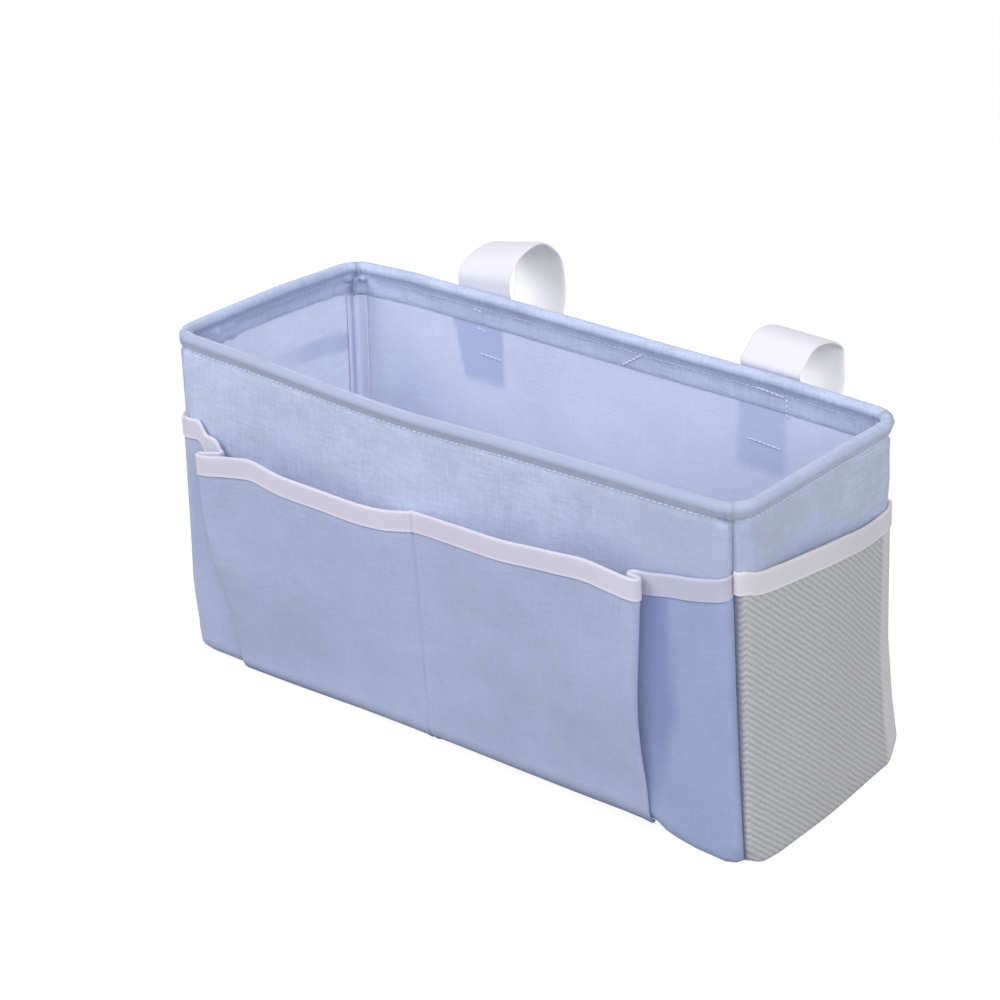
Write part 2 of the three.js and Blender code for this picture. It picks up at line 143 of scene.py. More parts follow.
# Walls. Each wall is one sheet of pale blue linen-look cloth. Its top is folded over the rim wire
# and sewn down as a 14 mm flap inside, and its foot turns in under the base to the base seam.
# The walls meet at upright corner seams, where the hems bunch up in small gathers.
rim_length = 322
rim_width = 122
rim_height = 167
rim_corner = 12
wire_radius = 2
wire_depth = 1.15
front_bow = 3
front_taper = 3.5
base_length = 333
base_corner = 6
cloth = 0.8
clearance = 0.3
hem_stitch = rim_height - 5.3
flap_drop = 14
flap_depth = 1.5 * cloth + 0.1
wire_play = 0.15
edge_turn = math.radians(75)
least_radius = 0.4
seam_turn = {side: math.radians(turn) for side, turn in
             (("front", 37), ("right", 53), ("back", 37), ("left", 53))}
rim_outer_x = rim_length / 2 + wire_depth
rim_outer_y = rim_width / 2 + wire_depth
rim_outer_corner = rim_corner + wire_depth
sides = {
    "front": {"travel": (1, 0), "out": (0, -1), "before": "left", "after": "right"},
    "right": {"travel": (0, 1), "out": (1, 0), "before": "front", "after": "back"},
    "back": {"travel": (-1, 0), "out": (0, 1), "before": "right", "after": "left"},
    "left": {"travel": (0, -1), "out": (-1, 0), "before": "back", "after": "front"},
}
# How far below the rim a pocket's tape is caught in the front corner seams
tape_caught = {"left": 45, "right": 35}
# Lower corners: end sign, front sign, size in mm and how far each is rounded
soft_corners = ((-1, -1, 12, 0.2), (1, 1, 13, 0.5), (-1, 1, 14, 0.5), (1, -1, 11, 0.5))
# Radius of the rounded lower edge at stations along each wall
edge_profile = {
    "front": ([-2, -1, -0.45, 0.1, 0.62, 0.78, 0.87, 1, 2], [6, 7, 9, 10, 11, 9, 5, 3.5, 3.5]),
    "right": ([-2, -1, 0, 1, 2], [3.5, 3, 3, 5, 6]),
    "back": ([-2, -1, 1, 2], [6, 9, 9, 7]),
    "left": ([-2, -1, 1, 2], [7, 6, 6, 6]),
}


def lerp(a, b, t):
    return a + (b - a) * t


def ease(value, start, end):
    """0 at start, 1 at end, smooth between."""
    t = np.clip((value - start) / (end - start), 0, 1)
    return t * t * (3 - 2 * t)


def bump_at(value, centre, width):
    return np.exp(-((value - centre) / width) ** 2)


def ends(value):
    return np.where(np.asarray(value) < 0, -1, 1)


def unit(vectors):
    return vectors / np.maximum(np.linalg.norm(vectors, axis=-1, keepdims=True), 1e-9)


def distances(line):
    """How far along a line each of its points lies."""
    return np.concatenate([[0], np.cumsum(np.linalg.norm(np.diff(line, axis=0), axis=1))])


def join(x, y, z):
    return np.stack(np.broadcast_arrays(x, y, z), axis=-1)


def face_distance(side, height):
    """Distance of a wall's outer face from the middle of the bag."""
    drop = 1 - height / rim_height
    if side == "front":
        return rim_outer_y - front_taper * drop
    if side == "back":
        return rim_outer_y
    return rim_outer_x + (base_length / 2 - rim_outer_x) * drop * drop


def corner_radius(height):
    return lerp(base_corner, rim_outer_corner, height / rim_height)


def straight_run(side, sign, height, depth=0):
    """Half of a wall's straight run, towards its corner before (sign -1) or after (sign 1)."""
    before = face_distance(sides[side]["before"], height)
    after = face_distance(sides[side]["after"], height)
    radius = np.maximum(corner_radius(height) - depth, least_radius)
    return np.where(np.asarray(sign) < 0, before, after) - depth - radius


def seam_place(side, sign, height):
    return straight_run(side, sign, height) + corner_radius(height) * seam_turn[side]


def place_of(side, station, height):
    """Place along the wall in mm, with the corner arcs rolled out flat."""
    sign = ends(station)
    far = np.abs(station)
    run = straight_run(side, sign, height)
    arc = corner_radius(height) * seam_turn[side]
    return sign * (run * np.minimum(far, 1) + arc * np.maximum(far - 1, 0))


def station_of(side, place, height):
    sign = ends(place)
    far = np.abs(place)
    run = straight_run(side, sign, height)
    arc = corner_radius(height) * seam_turn[side]
    return sign * np.where(far <= run, far / run, np.minimum(1 + (far - run) / arc, 2))


def seam_gap(side, station, height):
    """How far a point is from its corner seam, along the wall."""
    return seam_place(side, ends(station), height) - np.abs(place_of(side, station, height))


def press(side, station, height):
    """How far the cloth stands out of its plain place: slow waves, seam grooves, hem gathers."""
    place = place_of(side, station, height)
    seam = seam_gap(side, station, height)
    held = ease(seam, 4, 40)
    phase = {"front": 0.4, "right": 1.9, "back": 3.1, "left": 4.6}[side]
    below = ease(height, rim_height - 10, rim_height - 60)
    waves = 0.55 * np.sin(place / 23 + phase + height / 60)
    waves = waves + 0.4 * np.sin(place / 11 - height / 35 + 2 * phase)
    out = waves * held * ease(height, 4, 30) * (0.25 + 0.75 * below)
    # Upright seam: the cloth is drawn in along it
    out = out - 2.7 * np.exp(-(seam / 1.25) ** 2) * ease(height, rim_height - 4, rim_height - 8)
    # Where a pocket's tape is caught in the seam, it pulls the corner in
    if side == "front":
        caught = rim_height - np.where(np.asarray(station) < 0, tape_caught["left"], tape_caught["right"])
        out = out - 1.2 * np.exp(-(seam / 5) ** 2) * bump_at(height, caught, 7)
    # Hem stitching: a drawn-in line with small puckers below it
    out = out - 0.35 * bump_at(height, hem_stitch, 1.6)
    puckers = np.sin(place / 1.15 + 2 * np.sin(place / 9)) * np.sin(place / 17 + phase)
    out = out + 0.16 * puckers * np.exp(-np.abs(height - hem_stitch + 2) / 6)
    # Gathers where two hems meet at a corner
    near = np.exp(-np.maximum(seam - 1, 0) / 7)
    hem_zone = bump_at(height, hem_stitch + 1.5, 6)
    out = out + 0.7 * np.sin(seam * 1.45 + phase) * near * hem_zone
    out = out - 2.4 * bump_at(seam, 4.4, 2.2) * bump_at(height, hem_stitch - 0.3, 1.3)
    return out


def wall_point(side, station, height, depth):
    """Points of a wall in mm, depth inwards from its outer face. Stations -1 to 1 run over the
    straight part, and to -2 and 2 round the corners to the seams."""
    travel, out = sides[side]["travel"], sides[side]["out"]
    station, height, depth = np.broadcast_arrays(np.asarray(station, float), height, depth)
    sign = ends(station)
    far = np.abs(station)
    run = straight_run(side, sign, height, depth)
    radius = np.maximum(corner_radius(height) - depth, least_radius)
    turn = np.clip(far - 1, 0, 1) * seam_turn[side]
    proud = press(side, station, height)
    bow = front_bow * (height / rim_height) ** 2 if side == "front" else 0
    along = sign * (run * np.minimum(far, 1) + radius * np.sin(turn) + proud * np.sin(turn))
    outward = face_distance(side, height) - depth + bow * np.maximum(1 - far * far, 0)
    outward = outward - radius * (1 - np.cos(turn)) + proud * np.cos(turn)
    return travel[0] * along + out[0] * outward, travel[1] * along + out[1] * outward


def round_corner(points, end_sign, front_sign, size, share):
    """Rounds one lower corner of the bag as a soft pillow corner."""
    reach = base_length / 2 - size
    side_reach = face_distance("front" if front_sign < 0 else "back", 0) - size
    signs = np.array([end_sign, front_sign, -1])
    centre = np.array([reach, side_reach, -size])
    over = points * signs - centre
    q = np.maximum(over, 0)
    longest = q.max(axis=-1)
    norm = np.maximum(np.linalg.norm(q, axis=-1), 1e-9)
    weight = share * np.prod(ease(q / size, 0, 0.7), axis=-1)
    factor = lerp(1, longest / norm, weight)[..., None]
    moved = np.where(over > 0, q * factor, over)
    return (moved + centre) * signs


def settle(points):
    """The limp bag's own set, the same for all of its layers: the rim hangs a little between and at
    its back corners, the back right edge is drawn in, the front foot lifts, the corners are soft."""
    points = np.array(points, float)
    for end_sign, front_sign, size, share in soft_corners:
        points = round_corner(points, end_sign, front_sign, size, share)
    x, y, z = points[..., 0], points[..., 1], points[..., 2]
    share = np.clip(z / rim_height, 0, 1.03)
    sag = 2.7 * bump_at(x / (rim_length / 2), -0.14, 0.40) * ease(y, -25, -55)
    sag = sag + np.interp(x, [-162, -145, -120, 0, 100, 162], [2, 1.6, 0.3, 0.7, 1, 2.6]) * ease(y, 0, 55)
    drawn = np.interp(z, [0, 14, 30, 60, 125, 140, 150, 167], [2.6, 3.6, 4.8, 5.4, 4.2, 3, 3.2, 3.4])
    drawn = drawn * ease(y, -10, 60)
    flare = np.interp(z, [0, 25, 60], [2.4, 1.3, 0]) * ease(y, -58, -36)
    spread = np.interp(z, [0, 6, 14, 24, 36, 110, 150, 158, 167],
                       [-0.8, -1.4, -1.5, 0, 1.4, 1.4, 1.9, 1.6, -1.0])
    x_shift = (flare - drawn) * ease(x, 120, 164) - spread * ease(x, -120, -164)
    lift = np.interp(x, [-160, -145, -110, -60, -20, 36, 70, 110, 117, 123, 128],
                     [0, 0, 0.2, 0.3, 0, 1.3, 2.6, 4.2, 3.8, 0.6, 0])
    lift = lift * ease(y, -25, -54) * ease(z, 40, 0)
    return np.stack([x + x_shift, y, z - sag * share ** 2 + lift], axis=-1)


def surface_point(side, station, height, inset, tilt, depth):
    """A settled point of a wall or of a layer on it; the foot is turned in by the tilt."""
    x, y = wall_point(side, station, height, inset + depth * np.cos(tilt))
    return settle(join(x, y, height + depth * np.sin(tilt)))


def edge_radius(side, station):
    return np.interp(station, *edge_profile[side])


def new_piece(name, points, faces, finishes, angle):
    """A mesh from points in mm, shaded smooth up to an angle."""
    mesh = bpy.data.meshes.new(name)
    mesh.from_pydata((np.reshape(points, (-1, 3)) / 1000).tolist(), [], faces)
    for finish in finishes:
        mesh.materials.append(finish)
    piece = bpy.data.objects.new(name, mesh)
    bpy.context.scene.collection.objects.link(piece)
    bpy.ops.object.select_all(action="DESELECT")
    piece.select_set(True)
    bpy.context.view_layer.objects.active = piece
    bpy.ops.object.shade_smooth_by_angle(angle=math.radians(angle))
    return piece


def quads(a, b, c, d):
    """Faces from four arrays of point numbers."""
    return np.stack([a.ravel(), b.ravel(), c.ravel(), d.ravel()], axis=1)


def sheet_piece(name, middle, cut, thickness, finishes, closed=False, shade=None):
    """A sheet of cloth. Middle holds its middle surface in mm, in rows from foot to top, and cut
    the same points in the flat cut. Finishes are its outer and its inner material. Shade is painted
    shade, for its outer and its inner face: where less light comes through the cloth, or where the
    sheet lies in shade, it is painted darker."""
    rows, columns = middle.shape[:2]
    if closed:
        along = np.roll(middle, -1, 1) - np.roll(middle, 1, 1)
    else:
        along = np.gradient(middle, axis=1)
    normal = unit(np.cross(along, np.gradient(middle, axis=0)))
    points = np.concatenate([middle + normal * thickness / 2, middle - normal * thickness / 2])
    number = np.arange(2 * rows * columns).reshape(2, rows, columns)
    if closed:
        number = np.concatenate([number, number[:, :, :1]], axis=2)
    outer, inner = number
    faces = [
        quads(outer[:-1, :-1], outer[:-1, 1:], outer[1:, 1:], outer[1:, :-1]),
        quads(inner[:-1, :-1], inner[1:, :-1], inner[1:, 1:], inner[:-1, 1:]),
        quads(outer[0, 1:], outer[0, :-1], inner[0, :-1], inner[0, 1:]),
        quads(outer[-1, :-1], outer[-1, 1:], inner[-1, 1:], inner[-1, :-1]),
    ]
    if not closed:
        faces.append(quads(outer[:-1, 0], outer[1:, 0], inner[1:, 0], inner[:-1, 0]))
        faces.append(quads(outer[1:, -1], outer[:-1, -1], inner[:-1, -1], inner[1:, -1]))
    inner_part = np.concatenate([np.full(len(part), i == 1) for i, part in enumerate(faces)])
    piece = new_piece(name, points, np.concatenate(faces).tolist(), finishes, 40)
    mesh = piece.data
    flat = np.concatenate([cut, cut]).reshape(-1, 2) / 1000
    corners = np.empty(len(mesh.loops), dtype=np.int32)
    mesh.loops.foreach_get("vertex_index", corners)
    mesh.uv_layers.new(name="cut").data.foreach_set("uv", flat[corners].ravel())
    if shade is not None:
        values = shade.ravel().astype(np.float32)
        mesh.attributes.new("shade", "FLOAT", "POINT").data.foreach_set("value", values)
    if len(finishes) > 1:
        mesh.polygons.foreach_set("material_index", inner_part.astype(np.int32))
    return piece


def darkened(tree, colour, painted_shade_colour):
    """The colour, mixed towards its darker painted shade colour by the sheet's painted shade attribute."""
    behind = add_node(tree, "Attribute", attribute_name="shade")
    mixed = add_node(tree, "Mix", {0: behind.outputs["Fac"], 6: colour, 7: linear(painted_shade_colour)},
                     data_type="RGBA")
    return mixed.outputs[2]


def toned(tree, shade, tone):
    """A hex colour, made paler or darker by the tone."""
    grey = add_node(tree, "CombineColor", {i: tone for i in range(3)})
    mixed = add_node(tree, "Mix", {0: 1.0, 6: linear(shade), 7: grey}, data_type="RGBA",
                     blend_type="MULTIPLY")
    return mixed.outputs[2]


def soft_surface(tree, colour, height, strength, depth, roughness, sheen, specular=0.25):
    """Matt cloth with a little fibre sheen, and its yarns as bump."""
    bump = add_node(tree, "Bump", {"Height": height, "Strength": strength, "Distance": depth})
    shader = add_node(tree, "BsdfPrincipled", {
        "Base Color": colour, "Roughness": roughness, "Sheen Weight": sheen, "Sheen Roughness": 0.5,
        "Normal": bump, "Specular IOR Level": specular})
    add_node(tree, "OutputMaterial", {"Surface": shader})


# Cotton-linen look cloth, plain weave of slubby yarns, piece-dyed: the eye sees a soft blue with
# fine paler and darker dashes along both threads. The real yarns are about 0.5 mm apart, too fine
# to show, so the dashes are drawn 1.3 mm wide.
def linen(name, shade, contrast, painted_shade_colour=None):
    finish, tree = new_finish(name)
    cut = add_node(tree, "UVMap", uv_map="cut")
    tone = 0.0
    for wide, tall, weight in ((1.3, 14, 0.6), (11, 1.3, 0.8), (1.6, 1.6, 0.6), (30, 24, 1.0)):
        place = add_node(tree, "Mapping", {"Vector": cut,
                         "Scale": (1000 / wide, 1000 / tall, 1), "Location": (wide, tall, 0)})
        field = add_node(tree, "TexNoise", {"Vector": place, "Scale": 1.0,
                         "Detail": 2.0, "Roughness": 0.55}, noise_dimensions="2D")
        tone = add_node(tree, "Math", {0: field, 1: weight, 2: tone}, operation="MULTIPLY_ADD")
    spread = add_node(tree, "MapRange", {0: tone, 1: 1.0, 2: 2.0, 3: 1 - contrast, 4: 1 + contrast})
    colour = toned(tree, shade, spread)
    if painted_shade_colour:
        colour = darkened(tree, colour, painted_shade_colour)
    soft_surface(tree, colour, tone, 0.35, 0.0003, 0.88, 0.12)
    return finish


# Painted shade: each cloth is mixed towards its second, darker colour where a sheet's shade attribute says
wall_cloth = linen("linen_wall_outside", "b2bdd8", 0.16, painted_shade_colour="9ea7c1")
# Painted light: the inside is painted paler than the outside, for light coming through the thin cloth
inside_cloth = linen("linen_wall_inside", "cad3ea", 0.09, painted_shade_colour="9fabd3")
# Painted light: the inside of the left end wall and of the back wall beside it is painted paler still, for
# daylight coming through them
lit_cloth = linen("linen_wall_inside_lit", "d8e0f3", 0.08, painted_shade_colour="a6b1d6")


def wall_columns(side):
    """Stations of a wall's columns: 1.2 mm apart near the corner seams, 2.4 mm between."""
    arc = np.linspace(1, 2, 10)[1:]
    run = float(np.mean(straight_run(side, np.array([-1, 1]), 100.0)))
    close = 1 - np.arange(0, 26, 1.2) / run
    middle = np.linspace(-close[-1], close[-1], int(2 * close[-1] * run / 2.4))
    return np.concatenate([-arc[::-1], -close[:-1], middle, close[:-1][::-1], arc])


def layer_shade(side, points):
    """Painted shade for a wall's inside: where the flap, a strap's root or a pocket's tape lies on
    a wall, less light comes through, so the wall is painted darker there.
    """
    x, y, z = points[..., 0], points[..., 1], points[..., 2]
    flap = ease(z, 152.5, 154.5)
    if side == "back":
        near = np.interp(z, [116, 124, 152], [-84, -91, -97])
        first = ease(x, near, near + 3) * ease(x, -61, -66) * ease(z, 117, 125)
        second = ease(x, 71, 74) * ease(x, 104, 98) * ease(z, 116, 122)
        # The back wall's inside is painted partly down towards its shade colour, except near its left corner,
        # which stays paler as painted light against the corner's shade
        corner = ease(x, -126, -142) * ease(z, 148, 132)
        wall = np.maximum(0.36 * (1 - corner), np.maximum(0.86 * first, 0.73 * second))
        return np.maximum(wall, flap * lerp(1, 0.67, ease(x, 60, 110)))
    if side == "left":
        mouth = np.interp(y, [-60, 15, 59], [124, 134, 130.5])
        tape_band = ease(z, mouth, mouth - 1.5) * ease(z, mouth - 11, mouth - 9.5) * ease(y, -5, 40)
        return np.maximum(0.5 * tape_band, flap * (0.14 + 0.25 * bump_at(y, 20, 14)))
    return 0.6 * flap


def wall_piece(side):
    stations = wall_columns(side)[None, :]
    half = cloth / 2
    radius = edge_radius(side, stations)
    tilt = np.linspace(edge_turn, 0, 9)[:, None]
    share = np.concatenate([np.linspace(0, 0.93, 62)[1:], np.linspace(0.93, 1, 9)[1:]])[:, None]
    rise = lerp(radius, hem_stitch, share)
    hem_radius = wire_radius + wire_play + half
    turned = np.linspace(-38, 218, 20)
    angle = np.radians(turned)
    tube_line = np.stack([wire_depth - hem_radius * np.cos(angle),
                          rim_height + hem_radius * np.sin(angle)], axis=1)
    flap_rows = 20
    stitched = np.array([flap_depth, hem_stitch])
    flap_end = np.array([flap_depth, rim_height - flap_drop])
    hem = np.concatenate([
        lerp(np.array([half, hem_stitch]), tube_line[0], np.array([0.2, 0.4, 0.6, 0.8])[:, None]), tube_line,
        lerp(tube_line[-1], stitched, np.array([0.25, 0.5, 0.75, 1])[:, None]),
        np.linspace(stitched, flap_end, flap_rows - 3)[1:]])
    depth, height = hem[:, :1], hem[:, 1:]
    level = np.minimum(height, rim_height)
    # Inside, the flap bunches up where it meets the next wall's flap
    inside = np.clip((np.arange(len(hem)) - len(hem) + flap_rows) / flap_rows, 0, 1)[:, None]
    place = place_of(side, stations, level)
    seam = seam_gap(side, stations, level)
    bunch = 0.8 * (1 + np.sin(seam * 0.55 + 1.2 * np.sin(height / 5) + stations)) * np.exp(-seam / 11)
    if side == "left":
        crease = place - 26 - 0.44 * (height - 152)
        bunch = bunch + 2.6 * bump_at(crease, 4.2, 2.6) + 1.8 * bump_at(crease, -4.6, 3)
    depth = depth + bunch * ease(inside, 0.05, 0.45)
    x, y = wall_point(side, stations, level, depth)
    top = settle(join(x, y, height))
    foot = surface_point(side, stations, radius * (1 - np.sin(tilt)), radius * (1 - np.cos(tilt)), tilt, half)
    body = surface_point(side, stations, rise, 0, 0, half)
    middle = np.concatenate([foot, body, top])
    up = distances(middle[:, middle.shape[1] // 2])
    along = place_of(side, stations[0], 100.0)
    cut = np.stack(np.meshgrid(along, up), axis=-1)
    # The flap thins out towards its cut edge
    thickness = np.full(len(middle), cloth)
    thickness[-3:] = (0.6, 0.4, 0.2)
    # Painted shade: outside, the rim tube and the band just under it are painted darker, most on the front
    # wall and least on the right one. Inside, the flap and the layers behind the wall are painted darker
    # where less light comes through, and so is the tube's lower side.
    outside = np.zeros(middle.shape[:2])
    tube = len(foot) + len(body) + 4
    outer_tube_shade = {"front": 1, "right": 0.1, "back": 0.5, "left": 0.5}[side]
    on_tube = ease(turned, 92, 66) * lerp(0.95, 0.6, ease(turned, 20, -38))
    outside[tube:tube + len(turned)] = on_tube[:, None] * outer_tube_shade
    outside[tube - 4:tube] = np.array([0.1, 0.25, 0.4, 0.5])[:, None] * outer_tube_shade
    # Painted shade: the front wall darkens towards its right end, and the right wall towards its front
    if side == "front":
        outside = np.maximum(outside, 0.6 * ease(middle[..., 0], 60, 125))
    if side == "right":
        outside = np.maximum(outside, 0.5 * ease(middle[..., 1], 30, -45))
    # Painted shade in the groove along each corner seam
    outside = np.maximum(outside, bump_at(seam_gap(side, stations, rim_height / 2), 0, 1.4))
    behind = layer_shade(side, middle)
    # Painted shade on the inner side of the rim tube, strongest on the back wall
    inner_tube_shade = {"left": 0.35, "back": 0.92}.get(side, 0.75)
    behind[tube:tube + len(turned)] = ease(turned, 112, 150)[:, None] * inner_tube_shade
    inner_cloth = lit_cloth if side in ("left", "back") else inside_cloth
    piece = sheet_piece(f"{side}_wall", middle, cut, thickness[:, None, None], [wall_cloth, inner_cloth],
                        shade=np.stack([outside, behind]))
    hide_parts(f"{side}_panel", f"rim_casing_{side}")
    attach(piece, "caddy")


for side in sides:
    wall_piece(side)

# Rim wire. Bare 4 mm steel wire, bent to a rectangle with round corners and threaded through the
# hems of the four walls; it holds the mouth open.
wire_finish, tree = new_finish("drawn_steel")
spot = add_node(tree, "TexCoord")
lines = add_node(tree, "TexNoise", {"Vector": spot.outputs["Object"], "Scale": 900.0, "Detail": 2.0})
rough = add_node(tree, "MapRange", {0: lines, 1: 0.3, 2: 0.7, 3: 0.28, 4: 0.42})
shader = add_node(tree, "BsdfPrincipled", {"Base Color": linear("9a9da2"), "Metallic": 1.0,
                  "Roughness": rough})
add_node(tree, "OutputMaterial", {"Surface": shader})


def loop_points(height, depth):
    """The line round the bag at a height and a depth, as one closed loop of points."""
    points = []
    for side in sides:
        stations = wall_columns(side)[::2][:-1]
        x, y = wall_point(side, stations, np.minimum(height, rim_height), depth)
        points.append(join(x, y, height))
    return settle(np.concatenate(points))


def tube_piece(name, centre, radius, count, finish):
    """A closed tube round a closed line."""
    ahead = unit(np.roll(centre, -1, 0) - np.roll(centre, 1, 0))
    across = unit(np.cross(ahead, (0, 0, 1)))
    lift = np.cross(across, ahead)
    angles = np.linspace(0, 2 * math.pi, count, endpoint=False)
    rings = [centre + radius * (across * math.cos(a) + lift * math.sin(a)) for a in angles]
    points = np.stack(rings, axis=1)
    number = np.arange(points.shape[0] * count).reshape(-1, count)
    after = np.roll(number, -1, 0)
    faces = quads(number, np.roll(number, -1, 1), np.roll(after, -1, 1), after)
    return new_piece(name, points, faces.tolist(), [finish], 60)


wire = tube_piece("rim_wire_tube", loop_points(rim_height, wire_depth), wire_radius, 12, wire_finish)
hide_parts("rim_wire")
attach(wire, "caddy")

# Base. A panel of the same cloth closes the bottom. Its seam allowance is bound with tape inside,
# lapped onto the walls' turned-in foot, and a stiffener covered in the same cloth lies on it.
seam_allowance = 7.5
seam_tape_thick = 0.9
end_zone = 12
seam_inset = -0.7
seam_lift = 1.8


def base_line(inset, lift):
    """The loop round the base, inset from the turned-in foot of the walls."""
    points = []
    for side in sides:
        stations = wall_columns(side)[::2]
        radius = edge_radius(side, stations)
        height = radius * (1 - math.sin(edge_turn))
        x, y = wall_point(side, stations, height, radius * (1 - math.cos(edge_turn)) + inset)
        points.append(join(x, y, lift)[:-1])
    return np.concatenate(points)


def base_sheet(name, inset, lift, thickness, finishes):
    """A flat panel inside the base line: rows from front to back, columns along it."""
    loop = base_line(inset, lift)
    half = loop[:, 1] < 0
    front_line = loop[half][np.argsort(loop[half][:, 0])]
    back_line = loop[~half][np.argsort(loop[~half][:, 0])]
    reach = min(front_line[-1, 0], back_line[-1, 0]) - 0.2
    near = reach - end_zone
    x = np.concatenate([np.linspace(-reach, -near, 10)[:-1], np.linspace(-near, near, 70),
                        np.linspace(near, reach, 10)[1:]])
    front_y = np.interp(x, front_line[:, 0], front_line[:, 1])
    back_y = np.interp(x, back_line[:, 0], back_line[:, 1])
    share = np.linspace(0, 1, 40)[:, None]
    y = lerp(front_y, back_y, share)
    middle = settle(join(x, y, lift))
    piece = sheet_piece(name, middle, middle[..., :2].copy(), thickness, finishes)
    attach(piece, "caddy")
    return piece, (2 * reach / 1000, float(np.max(back_y - front_y)) / 1000)


bottom_cloth = linen("linen_base", "b4bfda", 0.12)
bottom, bottom_cut = base_sheet("bottom_cloth", cloth + clearance, 0.5, cloth, [bottom_cloth])
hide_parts("bottom_panel")

board_cloth = linen("linen_board_cover", "bcc7e2", 0.08)
board, board_cut = base_sheet("board_cover", 1.0, 3.4, 1.4, [board_cloth])
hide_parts("base_board")


# Narrow woven goods, from seam binding to strap and thread: polyester or nylon yarn woven into a soft
# band, with fine ribs across it, and on some a paler band along its lower edge. The ribs are drawn a
# little coarser than real, so that they show.
def taped(name, shade, rib, depth, contrast=0.05, painted_shade_colour=None, pale_edge=0.0):
    finish, tree = new_finish(name)
    cut = add_node(tree, "UVMap", uv_map="cut")
    apart = add_node(tree, "SeparateXYZ", {0: cut})
    scaled = add_node(tree, "Math", {0: apart.outputs[0], 1: 2 * math.pi / rib}, operation="MULTIPLY")
    ribs = add_node(tree, "Math", {0: scaled}, operation="SINE")
    place = add_node(tree, "Mapping", {"Vector": cut, "Scale": (700, 700, 700)})
    fuzz = add_node(tree, "TexNoise", {"Vector": place, "Scale": 1.0, "Detail": 2.0})
    height = add_node(tree, "Math", {0: ribs, 1: 0.3, 2: fuzz}, operation="MULTIPLY_ADD")
    tone = add_node(tree, "MapRange", {0: height, 1: 0.1, 2: 0.9, 3: 1 - contrast, 4: 1 + contrast / 2})
    edge = add_node(tree, "MapRange", {0: apart.outputs[1], 1: 0.0008, 2: 0.0014, 3: pale_edge, 4: 0.0})
    lit = add_node(tree, "Math", {0: tone, 1: edge})
    colour = toned(tree, shade, lit)
    if painted_shade_colour:
        colour = darkened(tree, colour, painted_shade_colour)
    soft_surface(tree, colour, height, 0.3, depth, 0.85, 0.15)
    return finish


# Seam binding in a pale lilac-blue, its cross threads drawn 0.9 mm apart
bound_edge = taped("seam_binding", "d4daf0", 0.0009, 0.0002)
ring_out = base_line(seam_inset, seam_lift)
ring_in = base_line(seam_inset + seam_allowance, seam_lift)
ring_share = np.linspace(0, 1, 6)[:, None, None]
ring = settle(lerp(ring_out[None], ring_in[None], ring_share))
ring_along = distances(np.vstack([ring_out, ring_out[:1]]))
ring_cut = np.stack(np.meshgrid(ring_along[:-1], np.linspace(0, seam_allowance, 6)), axis=-1)
ring_piece = sheet_piece("base_tape_ring", ring, ring_cut, seam_tape_thick, [bound_edge], closed=True)
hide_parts("base_seam_tape")
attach(ring_piece, "caddy")

# Corner seam allowances. The two walls' edges at each upright corner are bound together in tape,
# pressed flat in the corner and stitched down along both edges.
tape_heights = np.linspace(14, rim_height - flap_drop - 1, 60)[:, None]
tape_reach = {"front": 7.5, "back": 7.5, "left": 4.4, "right": 4.4}
for before, after in (("front", "right"), ("right", "back"), ("back", "left"), ("left", "front")):
    halves = []
    for side, sign, reach in ((before, 1, np.linspace(tape_reach[before], 0, 9)),
                              (after, -1, np.linspace(0, tape_reach[after], 9)[1:])):
        place = sign * (seam_place(side, sign, tape_heights) - reach)
        stations = station_of(side, place, tape_heights)
        halves.append(surface_point(side, stations, tape_heights, 0, 0, cloth + clearance + 0.5))
    middle = np.concatenate(halves, axis=1)
    wide = tape_reach[before] + tape_reach[after]
    cut = np.stack(np.meshgrid(np.linspace(0, wide, middle.shape[1]), tape_heights[:, 0]), axis=-1)
    end, wall = (after, before) if after in ("left", "right") else (before, after)
    piece = sheet_piece(f"corner_tape_{end}_{wall}", middle, cut, seam_tape_thick, [bound_edge])
    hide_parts(f"seam_tape_{end}_{wall}")
    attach(piece, "caddy")

# Front pocket. One wide panel of the same cloth, sewn at both corners, along the base and down its
# middle. A fold-back pleat near each end lets it gape. Its mouth is bound with white tape.
divider_place = -12
divider_mouth = rim_height - 45.8
pocket_gape = 6.5
pitch_mouth = 3.4
ply_lean = 2.2
pitch_base = 1.0
# Folds at the foot and at the mouth, and how far the mouth lies below the rim at places along it
left_pleat = {
    "side": -1, "inner": ([0, 1], [118, 129.5]),
    "outer": ([0, 0.3, 0.45, 0.85, 1], [130.3, 129.3, 132.8, 140.4, 140.6]),
    "ply_mouth": ([129.5, 131, 134, 137.5, 140.5, 142.5, 144, 145.5, 149, 153, 162],
                  [49.5, 47.4, 45.6, 44.8, 44.8, 43, 40.4, 39.2, 39.6, 40.2, 41.6]),
    "main_mouth": ([12, 25, 40, 63, 85, 101, 117, 139, 144],
                   [45.8, 48.1, 48.6, 47.3, 45.1, 42.2, 45.6, 51.6, 52.4]),
}
right_pleat = {
    "side": 1, "inner": ([0, 1], [101, 111.5]),
    "outer": ([0, 0.35, 0.55, 0.8, 1], [115.4, 114.4, 115.2, 117, 118.5]),
    "ply_mouth": ([111.5, 117.4, 123, 129, 139.7, 152.9, 157.7, 162],
                  [37.6, 37.2, 36.4, 35.4, 34.4, 31.4, 29.8, 28.8]),
    "main_mouth": ([-12, 10, 29, 49, 78, 97, 108, 115, 121],
                   [45.8, 43.4, 41, 39.3, 36.1, 34.6, 36.2, 37.4, 38]),
}
tape_width = 10
tape = 0.45
tape_room = 0.2


